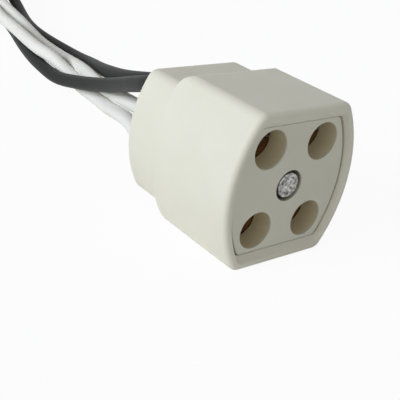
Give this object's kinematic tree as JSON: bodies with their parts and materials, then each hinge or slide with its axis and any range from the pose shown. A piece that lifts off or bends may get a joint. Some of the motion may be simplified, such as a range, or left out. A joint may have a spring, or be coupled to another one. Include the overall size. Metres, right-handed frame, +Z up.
{
  "type": "ring lamp holder",
  "caption": "Moulded lamp holder with a recessed face of round pin holes, a middle rivet, and black and white leads from its back.",
  "frame": {"origin": "on the surface the holder stands on, under the middle of the housing", "axes": "+Z up, -Y out of the face with the pin holes, +X to the right seen from the face"},
  "size_m": [0.026, 0.1178, 0.0152],
  "materials": {
    "housing": "moulded, satin",
    "face_plate": "moulded, satin",
    "rivet": "cold headed",
    "contact": "formed strip",
    "conductor": "tinned copper strands",
    "black_insulation": "extruded, satin",
    "white_insulation": "extruded, satin"
  },
  "bodies": {
    "root": {"housing": "housing", "face_plate": "face_plate", "rivet": "rivet", "contact_top_left": "contact", "contact_top_right": "contact", "contact_bottom_left": "contact", "contact_bottom_right": "contact", "black_lead_left_core": "conductor", "black_lead_left": "black_insulation", "black_lead_left_coil": "black_insulation", "black_lead_left_tip": "conductor", "black_lead_right_core": "conductor", "black_lead_right": "black_insulation", "black_lead_right_coil": "black_insulation", "black_lead_right_tip": "conductor", "white_lead_left_core": "conductor", "white_lead_left": "white_insulation", "white_lead_left_coil": "white_insulation", "white_lead_left_tip": "conductor", "white_lead_right_core": "conductor", "white_lead_right": "white_insulation", "white_lead_right_coil": "white_insulation", "white_lead_right_tip": "conductor"}
  },
  "joints": []
}
